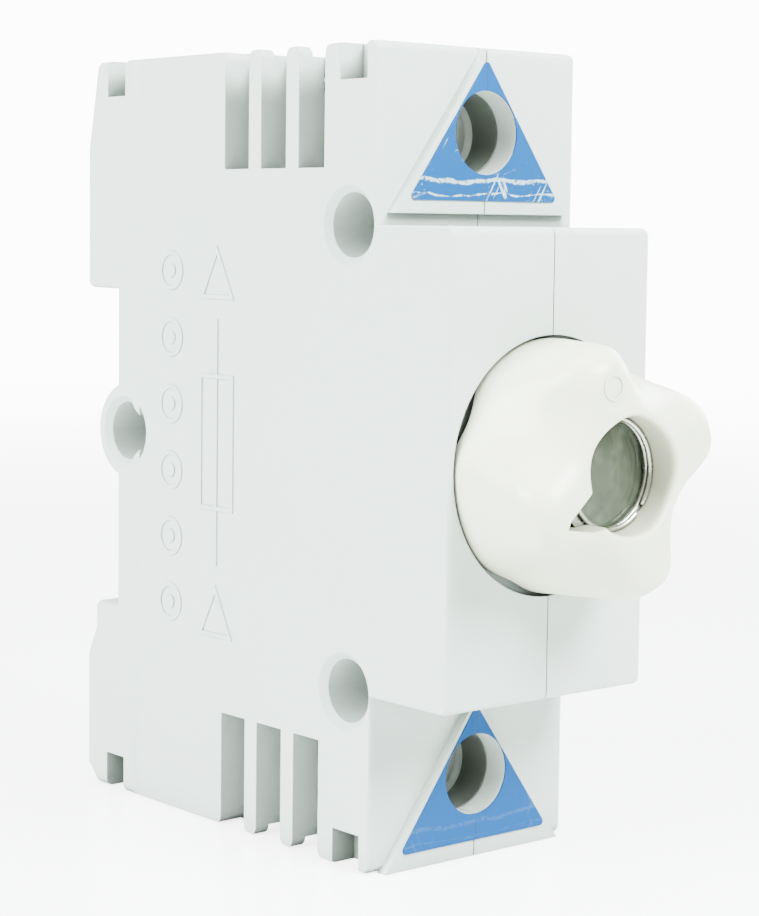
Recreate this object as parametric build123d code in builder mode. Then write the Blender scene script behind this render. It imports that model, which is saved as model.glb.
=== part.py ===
from build123d import *
from math import cos, hypot, radians, sin
import os

os.makedirs("parts", exist_ok=True)

# Single-pole screw-cap fuse base for a 35 mm top-hat rail, with its cap and cartridge.
# Frame: X across the width, front towards -Y, Z up. The origin is the middle of the rail,
# on the plane where the rail's flanges seat. All sizes are in millimetres.

# ---- housing envelope ----
housing_width = 27.0        # over the rear zone
side_recess = 0.3           # each side in front of the step, below the rear zone
step_y = -3.2               # where the side face steps in
step_ramp = 1.0             # length of the sloping step
rib_thickness = 1.6
rib_clearance = 0.8         # ribs to the terminal bars
body_height = 81.3
fuse_z = 2.0                # height of the fuse axis above the rail's middle
face_y = -44.0              # terminal faces
nose_y = -55.0              # front of the nose
nose_height = 46.0
wall = 2.0
seam_gap = 0.12             # shut line between the two half shells
edge_radius = 0.8
corner_radius = 0.8
wall_bite = 0.3             # how far an inner rib or pad reaches into the wall it grows from

# ---- rail seat ----
notch_height = 35.3         # takes a 35 mm rail
foot_depth = 5.9            # feet behind the seat
lead_in_depth = 4.3         # lower lip, thinner than its foot
lead_in_start = 3.0
lead_in_end = 6.3
foot_chamfer = 2.0
foot_taper = 1.9            # slow taper of the upper foot towards its end
foot_taper_length = 9.5
rail_flange = 1.0
hook_reach = 1.7            # how far hook and claw cover the rail's flange
hook_width = 8.0
hook_thickness = 1.65       # front to rear at its tip
hook_inset = 0.4            # root in front of the foot's rear face
rail_play = 0.35            # behind the rail's flange

# ---- coupling bores through the width ----
bore_radius = 3.2
bore_chamfer = 0.7
bore_wall = 0.85
front_bore_y = -39.9
front_bore_offset = 23.0
rear_bore_y = -1.6
rear_boss_radius = 5.3
spigot_length = 1.5
spigot_wall = 0.4
spigot_clearance = 0.05

# ---- raised marks on the left side ----
mark_height = 0.15
stroke = 0.45
symbol_y = -18.5
symbol_width = 6.0
symbol_height = 14.4
lead_length = 5.8
triangle_half_base = 3.0
triangle_height = 5.6
triangle_offset = 15.1      # base of the upper triangle, apex of the lower one
disc_count = 6
disc_pitch = 7.17
disc_radius = 2.1
disc_y = -10.25

# ---- cooling slots in the side walls, and the small notches in the edges ----
slot_count = 3
slot_width = 4.1
slot_pitch = 6.15
slot_first_y = -21.7        # middle of the rear-most slot
slot_inner_z = 28.6         # from the fuse axis to the closed end
fin_radius = 0.95
fin_depth = 3.2             # from the side face inwards
end_recess = 1.0            # end walls lie lower than the fins
notch_depth_x = 3.2
notch_wall = 1.0
rear_edge_notch = (-1.7, 1.65, 3.9)      # from y, to y, length along Z
front_edge_notch = (-42.5, -38.4, 3.6)

# ---- terminals ----
terminal_offset = 32.2      # screw axis from the fuse axis
access_radius = 4.1
access_wall = 0.9
lip_radius = 3.3
lip_thickness = 1.0
pad_half_width = 11.8
pad_height = 16.1
pad_proud = 1.0
pad_base_upper = 24.2       # from the fuse axis
pad_base_lower = -40.65
label_half_width = 10.0
label_height = 13.9
label_thickness = 0.15
label_corner = 0.4
label_hole_margin = 0.03
label_base_upper = 25.5
label_base_lower = -39.0
screw_radius = 2.5
screw_pitch = 0.8
screw_turns = 6
head_radius = 3.8
head_height = 2.5
thread_clearance = 0.06
bar_thickness = 1.2
bar_width = 7.6
tab_width = 6.0             # strip from the upper bar to the threaded shell
tab_offset = 2.7            # its end behind the insulator's front
lower_bar_reach = 5.5       # lower bar past the fuse axis
bar_y = -18.8               # rear face of both terminal bars
wire_space = 8.4            # open clamp, bar to cage
clamp_gap = 1.1             # cage's front wall to the bar when the clamp is closed
cage_wall = 1.1
cage_front = 2.6
cage_rear = 1.4
cage_length = 9.0
wire_entry_width = 9.2
wire_entry_margin = 0.1
cage_side_play = 0.3        # bar to cage, each side
cage_corner = 0.6
head_play = 0.3             # screw head to the lip and to the raised cage
bar_end_margin = 0.9        # bar past the cage
driver_slot_width = 1.0
driver_cross = (1.2, 4.4)
driver_depth = 1.3

# ---- screw cap ----
cap_radius = 12.4
cap_front_y = -66.4
cap_base_y = -54.2
cap_recess_clearance = 0.3
cap_recess_depth = 1.2
nose_opening_radius = 10.3
lobe_count = 4
lobe_angle = 20.0           # first lobe, seen from the front, from +X towards +Z
hollow_radius = 5.6
hollow_floor_front = 7.7    # from the axis to the hollow's floor, at the front face
hollow_floor_base = 12.5
front_round = 1.2
mouth_radius = 5.6
mouth_depth = 3.5
probe_width = 3.4
probe_reach = 9.2
probe_angle = -160.0
mark_radius = 2.1
mark_reach = 9.0
mark_angle = 110.0
mark_depth = 0.2
glass_radius = 6.5
glass_thickness = 1.8
glass_chamfer = 0.2
ring_thickness = 0.6
ring_inner_radius = 5.05
seat_clearance = 0.05

# ---- cap thread and socket thread ----
thread_pitch = 3.0
thread_depth = 0.4
fuse_side_play = 0.45       # fuse to the cap's shell, all round, with room for the spring ring
shell_wall = 0.45
flange_width = 1.6          # flange of the cap's shell, which presses on the fuse
cap_shell_end_y = -42.5
thread_gap = 0.2            # radial, between the two shells
socket_front_y = -52.4
socket_end_y = -41.2
insulator_wall = 1.0        # round the socket's shell
insulator_front_y = -52.7
insulator_bore_play = 0.45  # fuse to the insulator, all round
insulator_floor_y = -23.3
insulator_floor = 2.0
button_radius = 3.6         # foot contact
button_play = 0.4
contact_plate_height = 9.0
contact_plate_corner = 0.8

# ---- cartridge ----
fuse_head_y = -59.6
fuse_length = 36.0
fuse_radius = 7.55
neck_step = 1.25            # neck below the body's radius
shoulder_y = -36.5
shoulder_length = 3.0
ceramic_wall = 1.7          # at the neck
head_cap_length = 5.0
foot_cap_length = 4.6
foot_cap_proud = 0.3        # foot cap over the neck
cap_sheet = 0.4
cap_end = 0.5
indicator_radius = 1.6
indicator_clearance = 0.1
indicator_proud = 0.25
cap_rounding = 0.35
sheet_clearance = 0.02      # metal caps to the ceramic
element_width = 3.0
element_thickness = 0.3
neck_hole_radius = 0.9
element_necks = 5
grip_offset = 1.2           # spring ring behind the fuse's head
grip_length = 6.5
grip_band = 2.0             # uncut part of the spring ring
grip_sheet = 0.22
grip_slots = 6
grip_slot_width = 1.2
gauge_length = 5.1
gauge_chamfer = 0.4
contact_play = 0.1          # fuse's foot to the contact
gauge_clearance = 0.25

# ---- rail latch ----
latch_travel = 3.0
latch_width = 10.0
latch_thickness = 3.6
latch_y = 1.0               # front face
latch_clearance = 0.15
guide_wall = 1.65           # beside the latch's channel
guide_inset = 0.3           # guide walls below the foot's faces
claw_front_edge = 0.95      # thickness of the claw's tip
claw_slope_length = 3.2
latch_step = 0.6            # latch's front part below the notch
latch_window_width = 4.4
latch_top_strip = 6.25      # claw tip to the window
latch_end_gap = 0.4         # latch above the housing's lower end
post_width = 1.8            # in each half
post_length = 2.5
post_play = 0.2
spring_wire = 0.45
spring_radius = 1.35
spring_length = 6.8
spring_coils = 6
spring_end_gap = 0.05
latch_corner = 0.3
driver_slot_offset = 2.2    # screwdriver slot above the latch's lower end
driver_slot_length = 5.0
driver_slot_height = 1.6

# ---- values worked out from the sizes above ----
half_width = housing_width / 2
side_x = half_width - side_recess
inner_x = half_width - wall
seam_x = seam_gap / 2
top_z = fuse_z + body_height / 2
bottom_z = fuse_z - body_height / 2
nose_top = fuse_z + nose_height / 2
nose_bottom = fuse_z - nose_height / 2
rail_z = notch_height / 2
hook_front = rail_flange + rail_play
neck_radius = fuse_radius - neck_step
foot_radius = neck_radius + foot_cap_proud
ceramic_bore_radius = neck_radius - ceramic_wall
cap_crest_radius = fuse_radius + fuse_side_play + shell_wall + thread_depth
cap_root_radius = cap_crest_radius - thread_depth
socket_crest_radius = cap_crest_radius + thread_gap
socket_root_radius = socket_crest_radius + thread_depth
socket_outer_radius = socket_root_radius + shell_wall
insulator_radius = socket_outer_radius + insulator_wall
insulator_bore_radius = fuse_radius + insulator_bore_play
fuse_axis = Axis((0, 0, fuse_z), (0, 1, 0))
axial_plane = Plane.XY.offset(fuse_z)       # local x is the radius, local y runs along the fuse
ends = (1, -1)                              # upper end, lower end
front_bores = [(front_bore_y, fuse_z + e * front_bore_offset) for e in ends]
rear_bore = (rear_bore_y, fuse_z)
slot_centres = [slot_first_y - i * slot_pitch for i in range(slot_count)]
slots_y = (slot_centres[0] + slot_centres[-1]) / 2
slots_span = slot_pitch * (slot_count - 1) + slot_width
fin_zone_length = body_height / 2 - slot_inner_z + rib_thickness
notch_inner_x = half_width - notch_depth_x - notch_wall
rib_y = insulator_floor_y + insulator_floor + seat_clearance
bar_front_y = bar_y - bar_thickness
claw_z = hook_reach - rail_z
window_top = claw_z - latch_top_strip
post_top = window_top - spring_length
latch_window_length = spring_length + post_length + post_play
cage_travel = screw_pitch * screw_turns
cage_rear_y = bar_y + wire_space
cage_front_y = bar_front_y - cage_travel - cage_front - clamp_gap
head_y = cage_front_y - cage_travel - head_play
lip_y = head_y - head_height - head_play
pad_y = face_y - pad_proud


def front_plane(y):
    """Plane that faces the front at the given y, with local x as X and local y as Z."""
    return Plane.XZ.offset(-y)


def outer_profile():
    """Side view of the housing, drawn on the YZ plane without its rear boss."""
    with BuildSketch() as profile:
        with BuildLine():
            Polyline(
                (face_y, top_z), (face_y, nose_top), (nose_y, nose_top),
                (nose_y, nose_bottom), (face_y, nose_bottom), (face_y, bottom_z),
                (foot_depth - foot_chamfer, bottom_z), (foot_depth, bottom_z + foot_chamfer),
                (foot_depth, -rail_z - lead_in_end), (lead_in_depth, -rail_z - lead_in_start),
                (lead_in_depth, -rail_z), (0, -rail_z), (0, rail_z), (foot_depth, rail_z),
                (foot_depth, top_z - foot_taper_length), (foot_depth - foot_taper, top_z),
                close=True,
            )
        make_face()
        outer_corners = profile.vertices().filter_by(
            lambda v: abs(v.X) > 0.1 and not (abs(v.X - face_y) < 0.1 and abs(v.Y - fuse_z) < 30)
        )
        fillet(outer_corners, corner_radius)
    return profile.sketch


def thread_profile(root, crest, start_y, end_y):
    """Points of a rounded thread form between two radii, as (radius, y), from start to end."""
    points = []
    turns = int((end_y - start_y) / thread_pitch)
    step = thread_pitch / 4
    for i in range(turns):
        y = start_y + i * thread_pitch
        points += [(root, y), (root, y + step), (crest, y + 2 * step), (crest, y + 3 * step)]
    return points + [(root, start_y + turns * thread_pitch)]


def raised_marks():
    """Fuse symbol with its two leads and triangles, and a column of plain round marks."""
    with BuildSketch() as marks:
        with Locations((symbol_y, fuse_z)):
            Rectangle(symbol_width, symbol_height)
            Rectangle(symbol_width - 2 * stroke, symbol_height - 2 * stroke, mode=Mode.SUBTRACT)
            Rectangle(stroke, symbol_height)
        for e in ends:
            with Locations((symbol_y, fuse_z + e * (symbol_height + lead_length) / 2)):
                Rectangle(stroke, lead_length + 0.1)
            base = fuse_z + (triangle_offset if e > 0 else -triangle_offset - triangle_height)
            slant = hypot(triangle_half_base, triangle_height)
            for inset, mode in ((0, Mode.ADD), (stroke, Mode.SUBTRACT)):
                half_base = triangle_half_base - inset * (slant + triangle_half_base) / triangle_height
                apex = base + triangle_height - inset * slant / triangle_half_base
                with BuildLine():
                    Polyline(
                        (symbol_y - half_base, base + inset), (symbol_y + half_base, base + inset),
                        (symbol_y, apex), close=True,
                    )
                make_face(mode=mode)
        discs = [(disc_y, fuse_z + (i - (disc_count - 1) / 2) * disc_pitch) for i in range(disc_count)]
        with Locations(*discs):
            Circle(disc_radius)
            Circle(disc_radius - stroke, mode=Mode.SUBTRACT)
            Circle(disc_radius - 3 * stroke)
    return marks.sketch


def housing_half(side):
    """One moulded half shell. side is -1 for the left half and +1 for the right half."""
    outer = outer_profile()
    with BuildPart() as half:
        with BuildSketch(Plane.YZ.offset(side * half_width)):
            add(outer)
            with Locations(rear_bore):
                Circle(rear_boss_radius)
        extrude(amount=-side * (half_width - seam_x))
        side_face = half.faces().sort_by(Axis.X)[0 if side < 0 else -1]
        fillet(side_face.outer_wire().edges(), edge_radius)

        # hollow behind the side wall, and the finned end zones
        with BuildSketch(Plane.YZ.offset(side * inner_x)):
            add(outer)
            offset(amount=-wall, kind=Kind.INTERSECTION, mode=Mode.REPLACE)
        extrude(amount=-side * inner_x, mode=Mode.SUBTRACT)

        # step along the rear of the side face
        with BuildSketch(front_plane(nose_y - 1)):
            with Locations((side * (side_x + 1), fuse_z)):
                Rectangle(2, body_height + 2)
        extrude(amount=-(step_y - step_ramp - nose_y + 1), mode=Mode.SUBTRACT)
        with BuildSketch(Plane.XY.offset(bottom_z - 1)):
            with BuildLine():
                Polyline(
                    (side * side_x, step_y - step_ramp - 0.01), (side * half_width, step_y),
                    (side * (half_width + 1), step_y),
                    (side * (half_width + 1), step_y - step_ramp - 0.01), close=True,
                )
            make_face()
        extrude(amount=body_height + 2, mode=Mode.SUBTRACT)

        # tubes round the coupling bores and the screwdriver holes
        with BuildSketch(Plane.YZ.offset(side * (inner_x + wall_bite))):
            with Locations(*front_bores):
                Circle(bore_radius + bore_wall)
            with Locations(rear_bore):
                Circle(rear_boss_radius)
        extrude(amount=-side * (inner_x + wall_bite - seam_x))
        with BuildSketch(front_plane(face_y + wall / 2)):
            for e in ends:
                with Locations((0, fuse_z + e * terminal_offset)):
                    Circle(access_radius + access_wall)
            with Locations((-side * half_width, fuse_z)):
                Rectangle(2 * (half_width + seam_x), body_height, mode=Mode.SUBTRACT)
        extrude(amount=-(lip_y - face_y - wall / 2))

        # upright ribs that the socket stands on
        rib_width = inner_x + wall_bite - bar_width / 2 - rib_clearance
        with BuildSketch(front_plane(rib_y + rib_thickness)):
            with Locations((side * (bar_width / 2 + rib_clearance + rib_width / 2), fuse_z)):
                Rectangle(rib_width, 2 * insulator_radius)
        extrude(amount=rib_thickness)

        # fixed hook at the top, guide walls for the latch at the bottom
        with BuildSketch(Plane.YZ.offset(side * seam_x)):
            with BuildLine():
                Polyline(
                    (0, rail_z + wall_bite), (hook_front, rail_z + wall_bite),
                    (hook_front, rail_z - hook_reach), (hook_front + hook_thickness, rail_z - hook_reach),
                    (foot_depth - hook_inset, rail_z + wall_bite), (foot_depth - hook_inset, rail_z + wall),
                    (0, rail_z + wall), close=True,
                )
            make_face()
        extrude(amount=side * (hook_width / 2 - seam_x))
        with BuildSketch(Plane.YZ.offset(side * seam_x)):
            with BuildLine():
                Polyline(
                    (-wall, -rail_z), (lead_in_depth - guide_inset, -rail_z),
                    (lead_in_depth - guide_inset, -rail_z - lead_in_start),
                    (foot_depth - guide_inset, -rail_z - lead_in_end - 2 * guide_inset),
                    (foot_depth - guide_inset, bottom_z + foot_chamfer + 2 * guide_inset),
                    (foot_depth - foot_chamfer - 2 * guide_inset, bottom_z + guide_inset),
                    (-wall, bottom_z + guide_inset), close=True,
                )
            make_face()
        extrude(amount=side * (latch_width / 2 + latch_clearance + guide_wall - seam_x))

        # raised pads under the labels
        for base in (pad_base_upper, pad_base_lower):
            with BuildSketch(front_plane(face_y + wall_bite)):
                with BuildLine():
                    Polyline(
                        (side * seam_x, fuse_z + base), (side * pad_half_width, fuse_z + base),
                        (side * seam_x, fuse_z + base + pad_height), close=True,
                    )
                make_face()
            extrude(amount=pad_proud + wall_bite)

        # thicker walls for the fins and round the edge notches
        thick_zones = [(slots_y, slots_span + 2 * rib_thickness, fin_zone_length, side_x - fin_depth)]
        for first_y, last_y, length in (rear_edge_notch, front_edge_notch):
            notch_span = last_y - first_y + 2 * notch_wall
            thick_zones.append(((first_y + last_y) / 2, notch_span, length + notch_wall, notch_inner_x))
        for e in ends:
            for middle_y, span, length, inner_face in thick_zones:
                depth = length - wall + wall_bite
                with BuildSketch(Plane.YZ.offset(side * (inner_x + wall_bite))):
                    with Locations((middle_y, fuse_z + e * (body_height / 2 - length + depth / 2))):
                        Rectangle(span, depth)
                extrude(amount=-side * (inner_x + wall_bite - inner_face))

        # holes for the cap, the screwdriver and the wires
        with BuildSketch(front_plane(nose_y - 1)):
            with Locations((0, fuse_z)):
                Circle(nose_opening_radius)
        extrude(amount=-(1 + wall + 0.1), mode=Mode.SUBTRACT)
        with BuildSketch(front_plane(nose_y - 1)):
            with Locations((0, fuse_z)):
                Circle(cap_radius + cap_recess_clearance)
        extrude(amount=-(1 + cap_recess_depth), mode=Mode.SUBTRACT)
        for e in ends:
            z = fuse_z + e * terminal_offset
            with BuildSketch(front_plane(pad_y - 1)):
                with Locations((0, z)):
                    Circle(lip_radius)
            extrude(amount=-(lip_y - pad_y + 2), mode=Mode.SUBTRACT)
            with BuildSketch(front_plane(pad_y - 1)):
                with Locations((0, z)):
                    Circle(access_radius)
            extrude(amount=-(lip_y - lip_thickness - pad_y + 1), mode=Mode.SUBTRACT)
            end_z = fuse_z + e * body_height / 2
            entry_y = (bar_y + cage_rear_y) / 2
            with BuildSketch(Plane.XY.offset(end_z - e * (wall + 1))):
                with Locations((0, entry_y)):
                    Rectangle(wire_entry_width, wire_space - 2 * wire_entry_margin)
            extrude(amount=e * (wall + 2), mode=Mode.SUBTRACT)
            with BuildSketch(Plane.XY.offset(end_z - e * end_recess)):
                with Locations((0, slots_y)):
                    Rectangle(2 * inner_x, slots_span)
            extrude(amount=e * (end_recess + 1), mode=Mode.SUBTRACT)

            # slots that leave fins with rounded ends
            slot_length = body_height / 2 - slot_inner_z
            with BuildSketch(Plane.YZ.offset(side * (half_width + 1))) as slots:
                for y in slot_centres:
                    with Locations((y, end_z - e * slot_length / 2)):
                        Rectangle(slot_width, slot_length + 0.02)
                with Locations((slots_y, end_z + e * 0.5)):
                    Rectangle(slot_pitch * slot_count + 1, 1)
                fillet(slots.vertices().filter_by(
                    lambda v: abs(v.Y - end_z) < 0.1 and abs(v.X - slots_y) < slots_span / 2 + 0.1
                ), fin_radius)
            extrude(amount=-side * (1 + side_recess + fin_depth + 0.1), mode=Mode.SUBTRACT)
            for first_y, last_y, length in (rear_edge_notch, front_edge_notch):
                with BuildSketch(Plane.YZ.offset(side * (half_width + 1))):
                    with Locations(((first_y + last_y) / 2, end_z + e * (1 - length) / 2)):
                        Rectangle(last_y - first_y, length + 1)
                extrude(amount=-side * (notch_depth_x + 1), mode=Mode.SUBTRACT)

        # channel for the latch, with the post that its spring rests on
        channel = latch_width / 2 + latch_clearance
        with BuildSketch(Plane.XY.offset(bottom_z - 1)):
            with Locations((0, latch_y + latch_thickness / 2)):
                Rectangle(2 * channel, latch_thickness + 2 * latch_clearance)
        extrude(amount=-rail_z + 2 - bottom_z, mode=Mode.SUBTRACT)
        with BuildSketch(front_plane(latch_y - latch_clearance - 0.1)):
            with Locations((side * (seam_x + post_width / 2), post_top - post_length / 2)):
                Rectangle(post_width, post_length)
        extrude(amount=-(latch_thickness + 2 * latch_clearance + 0.2))

        # spigots on the left half's bore tubes, sockets for them in the right half's
        with BuildSketch(Plane.YZ.offset(side * seam_x)):
            with Locations(*front_bores, rear_bore):
                Circle(bore_radius + spigot_wall + (spigot_clearance if side > 0 else 0))
        if side < 0:
            extrude(amount=spigot_length)
        else:
            extrude(amount=spigot_length, mode=Mode.SUBTRACT)

        # through bores, chamfered at the side face
        with BuildSketch(Plane.YZ):
            with Locations(*front_bores, rear_bore):
                Circle(bore_radius)
        extrude(amount=half_width + 1, both=True, mode=Mode.SUBTRACT)
        rims = half.edges().filter_by(GeomType.CIRCLE).filter_by(
            lambda edge: abs(edge.radius - bore_radius) < 0.01 and abs(edge.center().X) > inner_x
        )
        chamfer(rims, bore_chamfer)
        if side < 0:
            with BuildSketch(Plane.YZ.offset(-side_x + 0.1)):
                add(raised_marks())
            extrude(amount=-(mark_height + 0.1))
    return half


def triangle_label(end):
    """Thin label on a terminal pad, with a hole for the screwdriver. end is +1 above, -1 below."""
    base = label_base_upper if end > 0 else label_base_lower
    with BuildPart() as label:
        with BuildSketch(front_plane(pad_y)) as outline:
            with BuildLine():
                Polyline(
                    (-label_half_width, fuse_z + base), (label_half_width, fuse_z + base),
                    (0, fuse_z + base + label_height), close=True,
                )
            make_face()
            fillet(outline.vertices(), label_corner)
            with Locations((0, fuse_z + end * terminal_offset)):
                Circle(access_radius + label_hole_margin, mode=Mode.SUBTRACT)
        extrude(amount=label_thickness)
    return label


def terminal_screw(end):
    """Clamp screw with a slotted cross recess. It turns in place and draws the cage towards its head."""
    z = fuse_z + end * terminal_offset
    with BuildPart() as screw:
        with BuildSketch(front_plane(head_y)):
            with Locations((0, z)):
                Circle(head_radius)
        extrude(amount=head_height)
        chamfer(screw.faces().sort_by(Axis.Y)[0].edges(), 0.4)
        with BuildSketch(front_plane(head_y - head_height)):
            with Locations((0, z)):
                Rectangle(2 * head_radius + 1, driver_slot_width)
                Rectangle(*driver_cross)
        extrude(amount=-driver_depth, mode=Mode.SUBTRACT)
        with BuildSketch(front_plane(head_y - 0.5)):
            with Locations((0, z)):
                Circle(screw_radius)
        extrude(amount=-(bar_front_y - 0.1 - head_y + 0.5))
        chamfer(screw.faces().sort_by(Axis.Y)[-1].edges(), 0.5)
    return screw


def clamp_cage(end):
    """Rising cage: the screw passes its thick front wall and the wire lies on its rear wall."""
    z = fuse_z + end * terminal_offset
    half_cage = bar_width / 2 + cage_side_play + cage_wall
    with BuildPart() as cage:
        with BuildSketch(Plane.XY.offset(z)) as ring:
            length = cage_rear_y + cage_rear - cage_front_y
            with Locations((0, cage_front_y + length / 2)):
                Rectangle(2 * half_cage, length)
            fillet(ring.vertices(), cage_corner)
            length = cage_rear_y - cage_front_y - cage_front
            with Locations((0, cage_front_y + cage_front + length / 2)):
                Rectangle(2 * (half_cage - cage_wall), length, mode=Mode.SUBTRACT)
        extrude(amount=cage_length / 2, both=True)
        with BuildSketch(front_plane(cage_front_y - 1)):
            with Locations((0, z)):
                Circle(screw_radius + thread_clearance)
        extrude(amount=-(cage_front + 2), mode=Mode.SUBTRACT)
    return cage


housing_left = housing_half(-1)
housing_left.part.label = "housing_left"
export_step(housing_left.part, "parts/housing_left.step")
housing_right = housing_half(1)
housing_right.part.label = "housing_right"
export_step(housing_right.part, "parts/housing_right.step")

label_upper = triangle_label(1)
label_upper.part.label = "label_upper"
export_step(label_upper.part, "parts/label_upper.step")
label_lower = triangle_label(-1)
label_lower.part.label = "label_lower"
export_step(label_lower.part, "parts/label_lower.step")

upper_screw = terminal_screw(1)
upper_screw.part.label = "upper_screw"
export_step(upper_screw.part, "parts/upper_screw.step")
lower_screw = terminal_screw(-1)
lower_screw.part.label = "lower_screw"
export_step(lower_screw.part, "parts/lower_screw.step")
upper_cage = clamp_cage(1)
upper_cage.part.label = "upper_cage"
export_step(upper_cage.part, "parts/upper_cage.step")
lower_cage = clamp_cage(-1)
lower_cage.part.label = "lower_cage"
export_step(lower_cage.part, "parts/lower_cage.step")

# Star-shaped moulding of the screw cap, with its window mouth, probe slot and the seats behind them
cap_shell_front_y = cap_front_y + mouth_depth + ring_thickness + glass_thickness + 6 * seat_clearance
with BuildPart() as cap_body:
    with BuildSketch(front_plane(cap_base_y)):
        with Locations((0, fuse_z)):
            Circle(cap_radius)
    extrude(amount=cap_base_y - cap_front_y)
    fillet(cap_body.faces().sort_by(Axis.Y)[0].edges(), front_round)
    reach_front = hollow_floor_front + hollow_radius
    reach_base = hollow_floor_base + hollow_radius
    for i in range(lobe_count):
        angle = radians(lobe_angle + (i + 0.5) * 360 / lobe_count)
        start = Vector(reach_front * cos(angle), cap_front_y, fuse_z + reach_front * sin(angle))
        finish = Vector(reach_base * cos(angle), cap_base_y, fuse_z + reach_base * sin(angle))
        run = finish - start
        with BuildSketch(Plane(origin=start - run * 0.3, z_dir=run)):
            Circle(hollow_radius)
        extrude(amount=run.length * 1.6, mode=Mode.SUBTRACT)
    with BuildSketch(front_plane(cap_front_y)):
        with Locations((0, fuse_z)):
            Circle(mouth_radius)
        probe_middle = Vector(cos(radians(probe_angle)), sin(radians(probe_angle))) * (probe_reach / 2)
        with Locations(Location((probe_middle.X, fuse_z + probe_middle.Y), probe_angle)):
            SlotOverall(probe_reach, probe_width)
    extrude(amount=-mouth_depth, mode=Mode.SUBTRACT)
    with BuildSketch(front_plane(cap_front_y + 1)):
        with Locations(Location((probe_middle.X, fuse_z + probe_middle.Y), probe_angle)):
            SlotOverall(probe_reach, probe_width)
    extrude(amount=-(cap_shell_front_y - cap_front_y - 1), mode=Mode.SUBTRACT)
    with BuildSketch(front_plane(cap_front_y)):
        mark_middle = Vector(cos(radians(mark_angle)), sin(radians(mark_angle))) * mark_reach
        with Locations((mark_middle.X, fuse_z + mark_middle.Y)):
            Circle(mark_radius)
    extrude(amount=-mark_depth, mode=Mode.SUBTRACT)
    with BuildSketch(front_plane(cap_front_y + mouth_depth)):
        with Locations((0, fuse_z)):
            Circle(glass_radius + seat_clearance)
    extrude(amount=-(cap_base_y - cap_front_y - mouth_depth), mode=Mode.SUBTRACT)
    with BuildSketch(front_plane(cap_shell_front_y - seat_clearance)):
        with Locations((0, fuse_z)):
            Circle(cap_crest_radius + seat_clearance)
    extrude(amount=-(cap_base_y - cap_shell_front_y + seat_clearance), mode=Mode.SUBTRACT)
cap_body.part.label = "cap_body"
export_step(cap_body.part, "parts/cap_body.step")

# Threaded metal shell of the cap, with the flange that presses on the fuse's head
cap_shell_bore = cap_root_radius - shell_wall
flange_bore = cap_shell_bore - flange_width
with BuildPart() as cap_thread_shell:
    with BuildSketch(axial_plane):
        with BuildLine():
            Polyline(
                (flange_bore, cap_shell_front_y), (cap_root_radius, cap_shell_front_y),
                *thread_profile(
                    cap_root_radius, cap_crest_radius, cap_shell_front_y + shell_wall, cap_shell_end_y
                ),
                (cap_root_radius, cap_shell_end_y), (cap_shell_bore, cap_shell_end_y),
                (cap_shell_bore, cap_shell_front_y + shell_wall),
                (flange_bore, cap_shell_front_y + shell_wall), close=True,
            )
        make_face()
    revolve(axis=fuse_axis)
cap_thread_shell.part.label = "cap_thread_shell"
export_step(cap_thread_shell.part, "parts/cap_thread_shell.step")

# Metal ring in the window's mouth, and the glass behind it
ring_y = cap_front_y + mouth_depth + seat_clearance
with BuildPart() as window_ring:
    with BuildSketch(front_plane(ring_y)):
        with Locations((0, fuse_z)):
            Circle(glass_radius)
            Circle(ring_inner_radius, mode=Mode.SUBTRACT)
    extrude(amount=-ring_thickness)
    fillet(window_ring.edges().filter_by(GeomType.CIRCLE).group_by(SortBy.RADIUS)[0], ring_thickness * 0.4)
window_ring.part.label = "window_ring"
export_step(window_ring.part, "parts/window_ring.step")

glass_y = ring_y + ring_thickness + seat_clearance
with BuildPart() as window_glass:
    with BuildSketch(front_plane(glass_y)):
        with Locations((0, fuse_z)):
            Circle(glass_radius)
    extrude(amount=-glass_thickness)
    chamfer(window_glass.edges(), glass_chamfer)
window_glass.part.label = "window_glass"
export_step(window_glass.part, "parts/window_glass.step")

# Slotted spring ring that keeps the cartridge in the cap
grip_outer = cap_shell_bore - 0.12
with BuildPart() as grip_spring:
    with BuildSketch(front_plane(fuse_head_y + grip_offset)):
        with Locations((0, fuse_z)):
            Circle(grip_outer)
            Circle(grip_outer - grip_sheet, mode=Mode.SUBTRACT)
    extrude(amount=-grip_length)
    for i in range(grip_slots):
        angle = (i + 0.5) * 360 / grip_slots
        middle = grip_outer * Vector(cos(radians(angle)), sin(radians(angle)))
        with BuildSketch(front_plane(fuse_head_y + grip_offset + grip_band)):
            with Locations(Location((middle.X, fuse_z + middle.Y), angle)):
                Rectangle(2, grip_slot_width)
        extrude(amount=-grip_length, mode=Mode.SUBTRACT)
grip_spring.part.label = "grip_spring"
export_step(grip_spring.part, "parts/grip_spring.step")

# Cartridge: bottle-shaped ceramic body between two metal end caps
fuse_foot_y = fuse_head_y + fuse_length
head_seat_radius = fuse_radius - cap_sheet - sheet_clearance
foot_seat_radius = foot_radius - cap_sheet - sheet_clearance
ceramic_radius = fuse_radius - seat_clearance
with BuildPart() as fuse_body:
    with BuildSketch(axial_plane):
        with BuildLine():
            Polyline(
                (ceramic_bore_radius, fuse_head_y + cap_end), (head_seat_radius, fuse_head_y + cap_end),
                (head_seat_radius, fuse_head_y + head_cap_length + sheet_clearance),
                (ceramic_radius, fuse_head_y + head_cap_length + sheet_clearance),
                (ceramic_radius, shoulder_y),
                (neck_radius, shoulder_y + shoulder_length),
                (neck_radius, fuse_foot_y - foot_cap_length - sheet_clearance),
                (foot_seat_radius, fuse_foot_y - foot_cap_length - sheet_clearance),
                (foot_seat_radius, fuse_foot_y - cap_end),
                (ceramic_bore_radius, fuse_foot_y - cap_end), close=True,
            )
        make_face()
    revolve(axis=fuse_axis)
fuse_body.part.label = "fuse_body"
export_step(fuse_body.part, "parts/fuse_body.step")

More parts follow.
